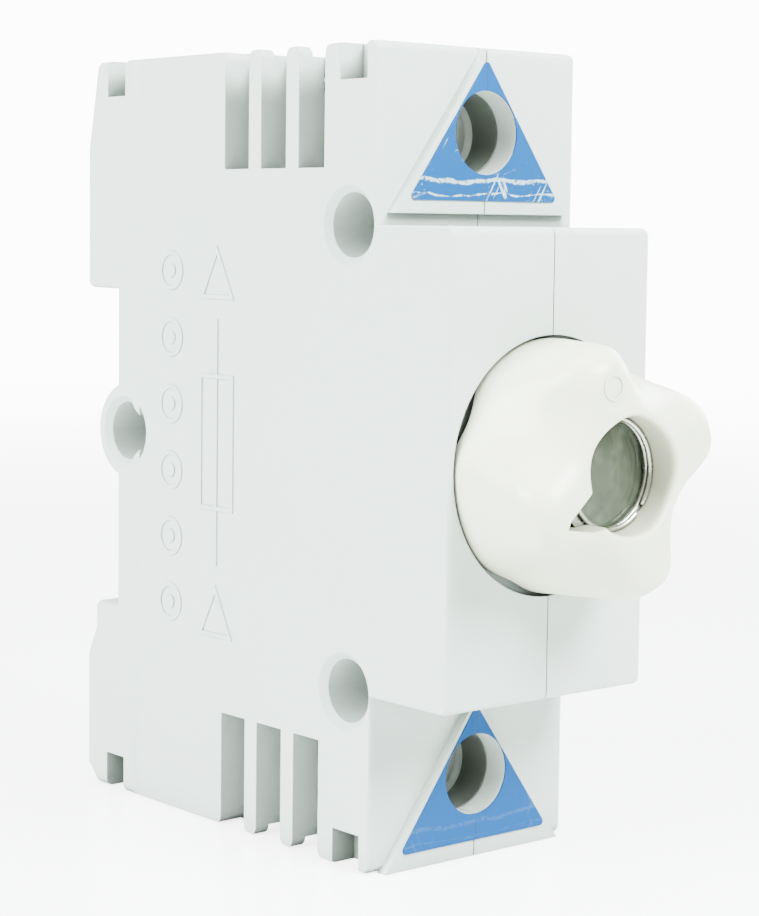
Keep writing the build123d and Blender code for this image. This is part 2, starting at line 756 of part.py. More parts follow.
with BuildPart() as fuse_head_cap:
    with BuildSketch(axial_plane):
        with BuildLine():
            Polyline(
                (indicator_radius + indicator_clearance, fuse_head_y), (fuse_radius, fuse_head_y),
                (fuse_radius, fuse_head_y + head_cap_length),
                (fuse_radius - cap_sheet, fuse_head_y + head_cap_length),
                (fuse_radius - cap_sheet, fuse_head_y + cap_end - sheet_clearance),
                (indicator_radius + indicator_clearance, fuse_head_y + cap_end - sheet_clearance), close=True,
            )
        make_face()
    revolve(axis=fuse_axis)
    fillet(fuse_head_cap.faces().sort_by(Axis.Y)[0].outer_wire().edges(), cap_rounding)
fuse_head_cap.part.label = "fuse_head_cap"
export_step(fuse_head_cap.part, "parts/fuse_head_cap.step")

with BuildPart() as fuse_foot_cap:
    with BuildSketch(axial_plane):
        with BuildLine():
            Polyline(
                (0, fuse_foot_y), (foot_radius, fuse_foot_y), (foot_radius, fuse_foot_y - foot_cap_length),
                (foot_radius - cap_sheet, fuse_foot_y - foot_cap_length),
                (foot_radius - cap_sheet, fuse_foot_y - cap_end + sheet_clearance),
                (0, fuse_foot_y - cap_end + sheet_clearance), close=True,
            )
        make_face()
    revolve(axis=fuse_axis)
    fillet(fuse_foot_cap.faces().sort_by(Axis.Y)[-1].outer_wire().edges(), cap_rounding)
fuse_foot_cap.part.label = "fuse_foot_cap"
export_step(fuse_foot_cap.part, "parts/fuse_foot_cap.step")

with BuildPart() as fuse_indicator:
    with BuildSketch(front_plane(fuse_head_y + cap_end)):
        with Locations((0, fuse_z)):
            Circle(indicator_radius)
    extrude(amount=cap_end + indicator_proud)
    fillet(fuse_indicator.faces().sort_by(Axis.Y)[0].edges(), 0.2)
fuse_indicator.part.label = "fuse_indicator"
export_step(fuse_indicator.part, "parts/fuse_indicator.step")

# Fusible strip down the middle of the sand
element_start_y = fuse_head_y + cap_end + 0.1
element_length = fuse_length - 2 * cap_end - 0.2
with BuildPart() as fuse_element:
    with BuildSketch(axial_plane):
        with Locations((0, element_start_y + element_length / 2)):
            Rectangle(element_width, element_length)
        neck_pitch = element_length / (element_necks + 1)
        necks = [element_start_y + neck_pitch * (k + 1) for k in range(element_necks)]
        with Locations(*[(x, y) for y in necks for x in (-element_width / 2, element_width / 2)]):
            Circle(neck_hole_radius, mode=Mode.SUBTRACT)
    extrude(amount=element_thickness / 2, both=True)
fuse_element.part.label = "fuse_element"
export_step(fuse_element.part, "parts/fuse_element.step")

with BuildPart() as fuse_sand:
    with BuildSketch(front_plane(element_start_y)):
        with Locations((0, fuse_z)):
            Circle(ceramic_bore_radius - seat_clearance)
            Rectangle(element_width + 0.2, element_thickness + 0.2, mode=Mode.SUBTRACT)
    extrude(amount=-element_length)
fuse_sand.part.label = "fuse_sand"
export_step(fuse_sand.part, "parts/fuse_sand.step")

# Gauge ring in the bottom of the socket, which lets in only this foot size
with BuildPart() as gauge_ring:
    with BuildSketch(front_plane(insulator_floor_y - seat_clearance)):
        with Locations((0, fuse_z)):
            Circle(insulator_bore_radius - seat_clearance)
            Circle(foot_radius + gauge_clearance, mode=Mode.SUBTRACT)
    extrude(amount=gauge_length)
    chamfer(gauge_ring.faces().sort_by(Axis.Y)[0].inner_wires().edges(), gauge_chamfer)
gauge_ring.part.label = "gauge_ring"
export_step(gauge_ring.part, "parts/gauge_ring.step")

# Socket: insulating body, threaded metal shell and foot contact
groove_floor = socket_outer_radius + seat_clearance
tab_front_y = insulator_front_y + tab_offset
with BuildPart() as socket_body:
    with BuildSketch(axial_plane):
        with BuildLine():
            Polyline(
                (insulator_radius, insulator_front_y),
                (insulator_radius, insulator_floor_y + insulator_floor),
                (button_radius + button_play, insulator_floor_y + insulator_floor),
                (button_radius + button_play, insulator_floor_y),
                (insulator_bore_radius, insulator_floor_y),
                (insulator_bore_radius, socket_end_y + seat_clearance),
                (groove_floor, socket_end_y + seat_clearance), (groove_floor, insulator_front_y), close=True,
            )
        make_face()
    revolve(axis=fuse_axis)
    with BuildSketch(front_plane(tab_front_y - 0.2)):
        with Locations((0, fuse_z + socket_outer_radius + 1.5)):
            Rectangle(tab_width + 0.2, 3.0)
    extrude(amount=-(insulator_floor_y + insulator_floor - insulator_front_y), mode=Mode.SUBTRACT)
socket_body.part.label = "socket_body"
export_step(socket_body.part, "parts/socket_body.step")

with BuildPart() as socket_thread_shell:
    with BuildSketch(axial_plane):
        with BuildLine():
            Polyline(
                (socket_outer_radius, socket_front_y),
                *thread_profile(socket_root_radius, socket_crest_radius, socket_front_y, socket_end_y),
                (socket_root_radius, socket_end_y), (socket_outer_radius, socket_end_y), close=True,
            )
        make_face()
    revolve(axis=fuse_axis)
socket_thread_shell.part.label = "socket_thread_shell"
export_step(socket_thread_shell.part, "parts/socket_thread_shell.step")

with BuildPart() as foot_contact:
    with BuildSketch(front_plane(bar_front_y - seat_clearance)):
        with Locations((0, fuse_z)):
            RectangleRounded(bar_width, contact_plate_height, contact_plate_corner)
    extrude(amount=bar_front_y - rib_y)
    with BuildSketch(front_plane(rib_y + seat_clearance)):
        with Locations((0, fuse_z)):
            Circle(button_radius)
    extrude(amount=rib_y + seat_clearance - fuse_foot_y - contact_play)
foot_contact.part.label = "foot_contact"
export_step(foot_contact.part, "parts/foot_contact.step")

# Terminal bars: from the threaded shell to the upper clamp, from the foot contact to the lower one
bar_end = terminal_offset + cage_length / 2 + bar_end_margin
tab_z = fuse_z + groove_floor
with BuildPart() as upper_bar:
    with BuildSketch(front_plane(bar_y)):
        with Locations((0, (tab_z + fuse_z + bar_end) / 2)):
            Rectangle(bar_width, fuse_z + bar_end - tab_z)
    extrude(amount=bar_thickness)
    with BuildSketch(Plane.XY.offset(tab_z)):
        with Locations((0, (tab_front_y + bar_front_y) / 2)):
            Rectangle(tab_width, bar_front_y - insulator_front_y - 2.7)
    extrude(amount=bar_thickness)
upper_bar.part.label = "upper_bar"
export_step(upper_bar.part, "parts/upper_bar.step")

with BuildPart() as lower_bar:
    with BuildSketch(front_plane(bar_y)):
        with Locations((0, fuse_z + (lower_bar_reach - bar_end) / 2)):
            Rectangle(bar_width, lower_bar_reach + bar_end)
    extrude(amount=bar_thickness)
lower_bar.part.label = "lower_bar"
export_step(lower_bar.part, "parts/lower_bar.step")

# Sprung latch that closes on the rail's lower flange
latch_bottom = bottom_z + latch_end_gap
latch_rear = latch_y + latch_thickness
with BuildPart() as rail_latch:
    with BuildSketch(Plane.YZ):
        with BuildLine():
            Polyline(
                (latch_y, latch_bottom), (latch_rear, latch_bottom), (latch_rear, claw_z - claw_slope_length),
                (hook_front + claw_front_edge, claw_z), (hook_front, claw_z),
                (hook_front, -rail_z - latch_step),
                (latch_y, -rail_z - latch_step), close=True,
            )
        make_face()
    extrude(amount=latch_width / 2, both=True)
    with BuildSketch(front_plane(latch_y - 1)):
        with Locations((0, window_top - latch_window_length / 2)):
            RectangleRounded(latch_window_width, latch_window_length, latch_corner)
        with Locations((0, latch_bottom + driver_slot_offset)):
            RectangleRounded(driver_slot_length, driver_slot_height, latch_corner)
    extrude(amount=-(latch_thickness + 2), mode=Mode.SUBTRACT)
rail_latch.part.label = "rail_latch"
export_step(rail_latch.part, "parts/rail_latch.step")

with BuildPart() as latch_spring:
    coil_height = spring_length - spring_wire - 2 * spring_end_gap
    coil_start = (0, latch_y + latch_thickness / 2, post_top + spring_wire / 2 + spring_end_gap)
    with BuildLine() as coil:
        Helix(pitch=coil_height / spring_coils, height=coil_height, radius=spring_radius, center=coil_start)
    with BuildSketch(Plane(origin=coil.line @ 0, z_dir=coil.line % 0)):
        Circle(spring_wire / 2)
    sweep(is_frenet=True)
latch_spring.part.label = "latch_spring"
export_step(latch_spring.part, "parts/latch_spring.step")
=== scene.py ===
from math import cos, pi, radians, sin

import bmesh
import bpy
import numpy as np
from mathutils import Matrix, Vector


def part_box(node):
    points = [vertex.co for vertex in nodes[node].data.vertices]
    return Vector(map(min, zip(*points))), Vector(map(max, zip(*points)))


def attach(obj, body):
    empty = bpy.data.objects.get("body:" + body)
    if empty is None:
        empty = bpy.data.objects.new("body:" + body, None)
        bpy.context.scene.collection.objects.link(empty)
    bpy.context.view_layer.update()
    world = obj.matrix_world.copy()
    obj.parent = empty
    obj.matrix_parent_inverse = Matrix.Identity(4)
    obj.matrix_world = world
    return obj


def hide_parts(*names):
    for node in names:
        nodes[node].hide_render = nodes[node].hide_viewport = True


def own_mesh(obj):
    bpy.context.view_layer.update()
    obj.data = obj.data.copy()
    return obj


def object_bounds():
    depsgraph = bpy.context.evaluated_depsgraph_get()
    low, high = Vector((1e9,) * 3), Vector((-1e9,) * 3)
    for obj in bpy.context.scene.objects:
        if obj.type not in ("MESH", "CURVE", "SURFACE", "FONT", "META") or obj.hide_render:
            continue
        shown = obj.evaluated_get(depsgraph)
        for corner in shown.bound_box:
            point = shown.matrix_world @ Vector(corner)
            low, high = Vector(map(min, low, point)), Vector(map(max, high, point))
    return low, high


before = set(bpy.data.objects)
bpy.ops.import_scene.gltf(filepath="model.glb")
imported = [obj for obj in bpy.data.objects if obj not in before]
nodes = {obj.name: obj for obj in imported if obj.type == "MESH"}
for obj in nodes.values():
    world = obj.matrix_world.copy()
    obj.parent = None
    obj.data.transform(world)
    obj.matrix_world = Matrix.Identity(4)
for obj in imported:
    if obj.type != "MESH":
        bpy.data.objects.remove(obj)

# Screw-cap fuse base on a pale studio floor. Lengths are in metres.
mm = 0.001
mmPerMetre = 1000.0
cadBox = [list(corner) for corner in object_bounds()]


def span(node, axis):  # lowest and highest place of a CAD node along one axis
    low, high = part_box(node)
    return low[axis], high[axis]


def middle(node, axis):
    low, high = span(node, axis)
    return (low + high) / 2


fuseZ = middle("window_glass", 2)  # the cap and the cartridge share this axis, along Y
floorZ = cadBox[0][2]
print("frame loaded:", len(nodes), "CAD nodes, axis at", round(fuseZ / mm, 2), "mm")


# ---- camera ----
cameraSettings = {
    "place": (-155.15 * mm, -211.77 * mm, 25.0 * mm),
    "yaw": 40.01,
    "pitch": 5.156,
    "roll": 0.684,
    "lens": 89.82,
    "sensor": 36,
    "shift": (0.0165, -0.0292),
}


def makeCamera(s):
    yaw, pitch, roll = (radians(s[key]) for key in ("yaw", "pitch", "roll"))
    ahead = Vector((sin(yaw) * cos(pitch), cos(yaw) * cos(pitch), -sin(pitch)))
    right = Vector((cos(yaw), -sin(yaw), 0))
    up = right.cross(ahead)
    tiltedRight = right * cos(roll) + up * sin(roll)
    tiltedUp = up * cos(roll) - right * sin(roll)
    data = bpy.data.cameras.new("camera")
    data.lens = s["lens"]
    data.sensor_width = s["sensor"]
    data.shift_x, data.shift_y = s["shift"]
    data.clip_start = 0.01
    camera = bpy.data.objects.new("camera", data)
    turn = Matrix((tiltedRight, tiltedUp, -ahead)).transposed().to_4x4()
    camera.matrix_world = Matrix.Translation(s["place"]) @ turn
    bpy.context.scene.collection.objects.link(camera)
    bpy.context.scene.camera = camera


makeCamera(cameraSettings)
print("camera placed")


# ---- shader helpers ----
class Wire:  # a node's output, used in plain arithmetic
    def __init__(self, finish, socket):
        self.finish = finish
        self.socket = socket

    def maths(self, operation, first, second):
        return self.finish.node("ShaderNodeMath", {"operation": operation}, {0: first, 1: second})

    def __add__(self, other):
        return self.maths("ADD", self, other)

    def __radd__(self, other):
        return self.maths("ADD", other, self)

    def __sub__(self, other):
        return self.maths("SUBTRACT", self, other)

    def __rsub__(self, other):
        return self.maths("SUBTRACT", other, self)

    def __mul__(self, other):
        return self.maths("MULTIPLY", self, other)

    def __rmul__(self, other):
        return self.maths("MULTIPLY", other, self)

    def __abs__(self):
        return self.maths("ABSOLUTE", self, 0.0)

    def larger(self, other):
        return self.maths("MAXIMUM", self, other)


class Finish:  # the nodes of one material or world
    def __init__(self, owner):
        owner.use_nodes = True
        self.owner = owner
        self.tree = owner.node_tree

    def end(self, kind, shader):  # what the whole comes to
        self.tree.links.new(shader.socket, self.tree.nodes[kind].inputs["Surface"])

    def plug(self, made, sockets):
        for key, value in sockets.items():
            if isinstance(value, Wire):
                self.tree.links.new(value.socket, made.inputs[key])
            else:
                made.inputs[key].default_value = value

    def node(self, kind, settings, sockets, out=0):
        made = self.tree.nodes.new(kind)
        for key, value in settings.items():
            setattr(made, key, value)
        self.plug(made, sockets)
        return Wire(self, made.outputs[out])

    def place(self, stretch=(1, 1, 1), turn=(0, 0, 0)):  # the piece's own frame, in millimetres
        raw = self.node("ShaderNodeTexCoord", {}, {}, "Object")
        scale = tuple(mmPerMetre * share for share in stretch)
        return self.node("ShaderNodeMapping", {"vector_type": "TEXTURE"}, {
            "Vector": raw, "Rotation": turn, "Scale": tuple(1 / share for share in scale),
        })

    def axes(self, vector):
        made = self.node("ShaderNodeSeparateXYZ", {}, {0: vector})
        outputs = made.socket.node.outputs
        return [Wire(self, outputs[i]) for i in range(3)]

    def noise(self, vector, scale, detail=2.0, rough=0.5, distortion=0.0):
        return self.node("ShaderNodeTexNoise", {}, {
            "Vector": vector, "Scale": scale, "Detail": detail, "Roughness": rough,
            "Distortion": distortion,
        })

    def cells(self, vector, scale, out="Distance"):
        return self.node("ShaderNodeTexVoronoi", {}, {"Vector": vector, "Scale": scale}, out)

    def step(self, value, low, high, bottom=0.0, top=1.0):
        return self.node("ShaderNodeMapRange", {"interpolation_type": "SMOOTHSTEP"}, {
            "Value": value, "From Min": low, "From Max": high, "To Min": bottom, "To Max": top,
        })

    def mix(self, factor, first, second):
        return self.node("ShaderNodeMix", {"data_type": "RGBA"}, {
            0: factor, 6: opaque(first), 7: opaque(second),
        }, 2)

    def bump(self, height, depth, under=None):
        sockets = {"Height": height, "Distance": depth, "Strength": 1.0}
        if under is not None:
            sockets["Normal"] = under
        return self.node("ShaderNodeBump", {}, sockets)

    def softEdges(self, radius):
        return self.node("ShaderNodeBevel", {"samples": 4}, {"Radius": radius})

    def openness(self, reach, low, high):  # 0 deep in holes and gaps, 1 in the open; the ambient-occlusion mask for painted shade
        free = self.node("ShaderNodeAmbientOcclusion", {"samples": 4}, {"Distance": reach}, "AO")
        return self.step(free, low, high)

    def surface(self, sockets):
        self.plug(self.tree.nodes["Principled BSDF"], {
            key: opaque(value) if "Color" in key else value for key, value in sockets.items()
        })
        return self.owner


def opaque(colour):
    return colour if isinstance(colour, Wire) or len(colour) == 4 else (*colour, 1.0)


def scratches(finish, families, scale, low, high):  # thin broken lines in a few directions
    total = None
    for angle, length in families:
        along = finish.place((1.0, 1.0, 1.0 / length), (0.0, angle, 0.0))
        line = finish.step(finish.noise(along, scale, 1.0, 0.4), low, high)
        total = line if total is None else total.larger(line)
    return total


# ---- materials ----
housingLook = {
    "colour": (0.565, 0.605, 0.58),
    "aged": (0.55, 0.565, 0.525),
    "dust": (0.30, 0.30, 0.27),
    # painted shade: the near-black colour that holes, gaps and recesses are darkened to
    "shade": (0.03, 0.033, 0.026),
    "rough": 0.46,
    "grainDepth": 0.012 * mm,
    "edge": 0.16 * mm,
}


def housingPlastic(name, colour, aged, dust, shade, rough, grainDepth, edge):
    finish = Finish(bpy.data.materials.new(name))
    place = finish.place()
    cloud = finish.step(finish.noise(place, 0.045, 3.0), 0.35, 0.7)
    stain = finish.step(finish.noise(place, 0.6, 5.0, 0.65), 0.58, 0.86)
    speck = finish.step(finish.cells(place, 0.32), 0.055, 0.02)
    speck = speck * finish.step(finish.noise(place, 0.15), 0.56, 0.66)
    rubbed = scratches(finish, [(0.35, 14.0), (-0.9, 18.0), (1.4, 11.0)], 1.6, 0.735, 0.76)
    tone = finish.mix(cloud * 0.5 + stain * 0.22, colour, aged)
    tone = finish.mix(speck * 0.55 + rubbed * 0.06, tone, dust)
    # painted shade: holes, gaps and recesses darken towards the shade colour by ambient occlusion
    tone = finish.mix(finish.openness(6.5 * mm, 0.03, 0.47), shade, tone)
    pores = finish.noise(place, 5.5, 3.0, 0.55)
    flow = finish.noise(finish.place((1.0, 0.12, 1.0)), 0.35, 2.0)
    height = pores + flow * 1.5 - rubbed * 0.8
    return finish.surface({
        "Base Color": tone,
        "Roughness": pores * 0.14 + cloud * 0.06 + rough - 0.1,
        "Normal": finish.bump(height, grainDepth, finish.softEdges(edge)),
        "IOR": 1.49,
        "Specular IOR Level": 0.42,
    })


knobLook = {
    "colour": (0.76, 0.745, 0.60),
    "worn": (0.72, 0.695, 0.54),
    # painted shade: the colour that the cap's mouth, slot and other recesses are darkened to
    "shade": (0.22, 0.22, 0.16),
    "rough": 0.36,
}


def knobPlastic(name, colour, worn, shade, rough):
    finish = Finish(bpy.data.materials.new(name))
    place = finish.place()
    cloud = finish.step(finish.noise(place, 0.11, 3.0), 0.38, 0.68)
    handled = finish.step(finish.noise(place, 0.7, 4.0, 0.6), 0.5, 0.8)
    lines = scratches(finish, [(0.6, 10.0), (-0.5, 13.0), (1.3, 8.0)], 2.2, 0.74, 0.765)
    orangePeel = finish.noise(place, 0.9, 2.0)
    tone = finish.mix(cloud * 0.45 + lines * 0.2, colour, worn)
    return finish.surface({
        # painted shade: recesses of the cap darken towards the shade colour by ambient occlusion
        "Base Color": finish.mix(finish.openness(9 * mm, 0.1, 0.75), shade, tone),
        "Roughness": handled * 0.12 + lines * 0.15 + rough,
        "Normal": finish.bump(orangePeel * 1.6 - lines * 0.6, 0.01 * mm, finish.softEdges(0.12 * mm)),
        "Coat Weight": handled * -0.1 + 0.18,
        "Coat Roughness": 0.2,
        "Subsurface Weight": 0.08,
        "Subsurface Radius": (1.0, 0.85, 0.6),
        "Subsurface Scale": 1.2 * mm,
        "IOR": 1.5,
    })


labelLook = {
    "upper": {"amount": 1.0, "colour": (0.0, 0.066, 0.23)},
    "lower": {"amount": 0.05, "colour": (0.0, 0.062, 0.23)},
    "bare": (0.42, 0.52, 0.56),
    "cut": (0.03, 0.05, 0.08),
    "cutWidth": 0.06,                       # half the cut along the housing's joint, in mm
    "streaks": [(1.95, 0.26), (0.6, 0.1)],  # height above the label's foot and half width, in mm
}


def labelFilm(name, node, amount, colour, bare, cut, cutWidth, streaks):
    finish = Finish(bpy.data.materials.new(name))
    place = finish.place()
    x, y, z = finish.axes(place)
    lift = z - span(node, 2)[0] / mm
    patch = finish.step(finish.noise(place, 0.2, 2.0), 0.5, 0.62)
    fine = scratches(finish, [(0.55, 22.0), (-0.45, 18.0), (1.3, 14.0)], 3.4, 0.715, 0.735) * patch
    rubbed = finish.step(finish.noise(place, 3.2, 4.0, 0.7), 0.6, 0.68) * patch
    rubbed = rubbed * finish.step(lift, 6.0, 3.0)
    wander = finish.noise(place, 0.2, 2.0) * 1.6 - 0.8
    streak = None
    for height, width in streaks:
        ragged = finish.noise(finish.place((1.0, 1.0, 0.5)), 1.6, 3.0) * 0.34
        line = finish.step(abs(lift - height - wander) + ragged, width + 0.17, width * 0.5 + 0.13)
        line = line * finish.step(finish.noise(place, 0.35 + height, 1.0), 0.33, 0.44)
        streak = line if streak is None else streak.larger(line)
    worn = (fine.larger(rubbed * 0.6)).larger(streak * 0.9) * amount
    seam = finish.step(abs(x), cutWidth, cutWidth * 0.5)
    tint = finish.mix(finish.noise(place, 0.25, 3.0) * 0.35, colour, tuple(0.82 * c for c in colour))
    tint = finish.mix(worn, tint, bare)
    return finish.surface({
        "Base Color": finish.mix(seam, tint, cut),
        "Roughness": worn * 0.2 + finish.noise(place, 1.3, 3.0) * 0.12 + 0.4,
        "Normal": finish.bump(finish.noise(place, 2.2, 2.0) * 0.5 - worn - seam * 3.0, 0.01 * mm),
        "Specular IOR Level": 0.12,
    })


def castPlastic(name, colour, rough, grain=6.0):
    finish = Finish(bpy.data.materials.new(name))
    place = finish.place()
    pores = finish.noise(place, grain, 3.0, 0.6)
    cloud = finish.step(finish.noise(place, 0.2, 3.0), 0.4, 0.7)
    return finish.surface({
        "Base Color": finish.mix(cloud * 0.5, colour, tuple(0.86 * c for c in colour)),
        "Roughness": pores * 0.15 + rough,
        "Normal": finish.bump(pores, 0.012 * mm, finish.softEdges(0.12 * mm)),
    })


def glazedCeramic(name, colour, crawl, rough):
    finish = Finish(bpy.data.materials.new(name))
    place = finish.place()
    spots = finish.step(finish.cells(place, 0.9), 0.12, 0.04)
    spots = spots * finish.step(finish.noise(place, 0.4), 0.5, 0.7)
    pool = finish.noise(place, 0.5, 3.0)
    tone = finish.mix(finish.step(pool, 0.35, 0.75) * 0.5, colour, crawl)
    return finish.surface({
        "Base Color": finish.mix(spots * 0.5, tone, tuple(0.55 * c for c in crawl)),
        "Roughness": pool * 0.14 + rough,
        "Normal": finish.bump(
            pool * 2.0 + finish.noise(place, 3.5, 2.0) * 0.3, 0.012 * mm, finish.softEdges(0.1 * mm),
        ),
        "Coat Weight": 0.4,
        "Coat Roughness": 0.08,
    })


metalShade = {"reach": 12 * mm, "share": 0.12, "low": 0.0, "high": 0.5}  # painted shade: how metal's colour is darkened in holes


def pressedMetal(name, colour, tarnish, rough, brushed=False, along=(1.0, 1.0, 1.0)):
    finish = Finish(bpy.data.materials.new(name))
    place = finish.place()
    cloud = finish.step(finish.noise(place, 0.45, 4.0, 0.6), 0.42, 0.72)
    spots = finish.step(finish.noise(place, 2.6, 3.0), 0.62, 0.75)
    lines = finish.noise(finish.place(along), 6.0, 2.0)
    tone = finish.mix(cloud * 0.55 + spots * 0.25, colour, tarnish)
    # painted shade: metal in holes and gaps darkens towards a dark copy of its tarnish colour by ambient
    # occlusion
    clear = finish.openness(metalShade["reach"], metalShade["low"], metalShade["high"])
    return finish.surface({
        "Base Color": finish.mix(clear, tuple(metalShade["share"] * c for c in tarnish), tone),
        "Metallic": 1.0 - spots * 0.12,
        "Roughness": lines * (0.22 if brushed else 0.1) + cloud * 0.12 + rough,
        "Normal": finish.bump(
            lines + spots * 0.4, (0.009 if brushed else 0.004) * mm, finish.softEdges(0.07 * mm),
        ),
    })


sandLook = {"dark": (0.62, 0.55, 0.44), "light": (0.86, 0.83, 0.76), "grain": 3.6, "depth": 0.12 * mm}


def quartzSand(name, dark, light, grain, depth):
    finish = Finish(bpy.data.materials.new(name))
    place = finish.place()
    grains = finish.cells(place, grain)
    lightness = finish.axes(finish.cells(place, grain, "Color"))[0]
    tone = finish.mix(lightness, dark, light)
    return finish.surface({
        "Base Color": tone,
        "Roughness": lightness * 0.3 + 0.45,
        "Normal": finish.bump(1.0 - grains, depth),
    })


glassLook = {"clean": (0.085, 0.098, 0.07), "hazy": (0.15, 0.165, 0.12), "rough": 0.04, "solid": 0.5}


def clearGlass(name, clean, hazy, rough, solid):
    finish = Finish(bpy.data.materials.new(name))
    place = finish.place()
    rimLight = finish.node("ShaderNodeLayerWeight", {}, {"Blend": 0.25}, "Facing")
    haze = finish.step(finish.noise(place, 0.8, 4.0, 0.65), 0.45, 0.8)
    return finish.surface({
        "Base Color": finish.mix(haze, clean, hazy),
        "Roughness": haze * 0.12 + rough,
        "Alpha": rimLight * 0.4 + haze * 0.1 + solid,
        "IOR": 1.5,
        "Specular IOR Level": 0.5,
    })


finishes = {
    "housing": housingPlastic("housingPlastic", **housingLook),
    "knob": knobPlastic("knobPlastic", **knobLook),
    "gauge": castPlastic("gaugePlastic", (0.022, 0.022, 0.024), 0.42),
    "indicator": castPlastic("indicatorPaint", (0.025, 0.025, 0.028), 0.3, 9.0),
    "latch": castPlastic("latchPlastic", (0.50, 0.51, 0.51), 0.4),
    "socket": glazedCeramic("steatite", (0.80, 0.77, 0.70), (0.70, 0.66, 0.57), 0.22),
    "porcelain": glazedCeramic("porcelain", (0.86, 0.85, 0.81), (0.79, 0.77, 0.70), 0.14),
    "sand": quartzSand("quartzSand", **sandLook),
    "brass": pressedMetal(
        "brassSheet", (0.83, 0.62, 0.30), (0.56, 0.39, 0.19), 0.2, True, (1.0, 0.1, 1.0),
    ),
    "copper": pressedMetal(
        "tinnedCopper", (0.80, 0.60, 0.48), (0.60, 0.42, 0.33), 0.28, True, (1.0, 1.0, 0.1),
    ),
    "nickel": pressedMetal("nickelPlate", (0.74, 0.72, 0.66), (0.50, 0.48, 0.42), 0.16),
    "zinc": pressedMetal("zincSteel", (0.66, 0.67, 0.68), (0.45, 0.45, 0.43), 0.28),
    "glass": clearGlass("windowGlass", **glassLook),
    # painted shade: the near-black plastic of the tubes that darken the screwdriver holes deep down
    "sleeve": castPlastic("shadeSleevePlastic", (0.085, 0.09, 0.078), 0.3, 9.0),
}
for end in ("upper", "lower"):
    shared = {key: labelLook[key] for key in ("bare", "cut", "cutWidth", "streaks")}
    finishes[end + "Label"] = labelFilm(end + "LabelFilm", "label_" + end, **labelLook[end], **shared)

finishOfNode = {
    "housing_left": "housing", "housing_right": "housing",
    "label_upper": "upperLabel", "label_lower": "lowerLabel",
    "upper_cage": "zinc", "lower_cage": "zinc",
    "window_ring": "nickel", "window_glass": "glass", "grip_spring": "nickel",
    "fuse_body": "porcelain", "fuse_head_cap": "nickel", "fuse_foot_cap": "nickel",
    "fuse_indicator": "indicator", "fuse_element": "copper", "fuse_sand": "sand",
    "gauge_ring": "gauge", "socket_body": "socket", "foot_contact": "copper",
    "upper_bar": "copper", "lower_bar": "copper",
    "rail_latch": "latch", "latch_spring": "zinc",
}
for node, finish in finishOfNode.items():
    data = nodes[node].data
    data.materials.clear()
    data.materials.append(finishes[finish])
print("materials made:", len(finishes))


# ---- mesh helpers ----
sharpAngle = 35  # edges steeper than this stay crisp, in degrees
weldDistance = 0.0005 * mm


def makePiece(name, points, faces, finish, body, slot, replaced=(), sharp=sharpAngle):
    data = bpy.data.meshes.new(name)
    data.from_pydata([tuple(p) for p in points], [], faces)
    data.validate()
    mesh = bmesh.new()
    mesh.from_mesh(data)
    bmesh.ops.remove_doubles(mesh, verts=mesh.verts, dist=weldDistance)
    bmesh.ops.recalc_face_normals(mesh, faces=mesh.faces)
    mesh.to_mesh(data)
    mesh.free()
    data.shade_smooth()
    data.set_sharp_from_angle(angle=radians(sharp))
    data.materials.append(finishes[finish])
    piece = bpy.data.objects.new(name, data)
    bpy.context.scene.collection.objects.link(piece)
    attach(piece, body)
    if replaced:
        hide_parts(*replaced)
    return piece


def gridFaces(rows, columns, closeRows=False, closeColumns=False):
    faces = []
    for i in range(rows if closeRows else rows - 1):
        for j in range(columns if closeColumns else columns - 1):
            a, b = i * columns, (i + 1) % rows * columns
            k = (j + 1) % columns
            faces.append((a + j, a + k, b + k, b + j))
    return faces


def turned(profile, segments, centre, radiusAt=None):
    # points of a shape turned about an axis along Y
    # profile is a list of (radius, y), and radiusAt can shape it further
    points = []
    for i in range(segments):
        angle = 2 * pi * i / segments
        for radius, y in profile:
            r = radius if radiusAt is None else radiusAt(radius, y, angle)
            points.append((centre[0] + r * cos(angle), y, centre[1] + r * sin(angle)))
    return points


def cutWith(piece, points, faces):  # takes a closed shape out of a piece
    data = bpy.data.meshes.new("cutter")
    data.from_pydata([tuple(p) for p in points], [], faces)
    mesh = bmesh.new()
    mesh.from_mesh(data)
    bmesh.ops.recalc_face_normals(mesh, faces=mesh.faces)
    mesh.to_mesh(data)
    mesh.free()
    cutter = bpy.data.objects.new("cutter", data)
    bpy.context.scene.collection.objects.link(cutter)
    change = piece.modifiers.new("cut", "BOOLEAN")
    change.operation = "DIFFERENCE"
    change.solver = "EXACT"
    change.object = cutter
    bpy.context.view_layer.update()
    shown = piece.evaluated_get(bpy.context.evaluated_depsgraph_get())
    result = bpy.data.meshes.new_from_object(shown)
    piece.modifiers.clear()
    old = piece.data
    piece.data = result
    result.name = old.name
    bpy.data.meshes.remove(old)
    bpy.data.objects.remove(cutter)
    result.shade_smooth()
    result.set_sharp_from_angle(angle=radians(sharpAngle))


def prism(outline, frontY, rearY):  # closed shape over an outline of (x, z)
    points = [(x, y, z) for y in (frontY, rearY) for x, z in outline]
    count = len(outline)
    faces = gridFaces(2, count, closeColumns=True)
    faces.append(tuple(range(count)))
    faces.append(tuple(range(count, 2 * count)))
    return points, faces


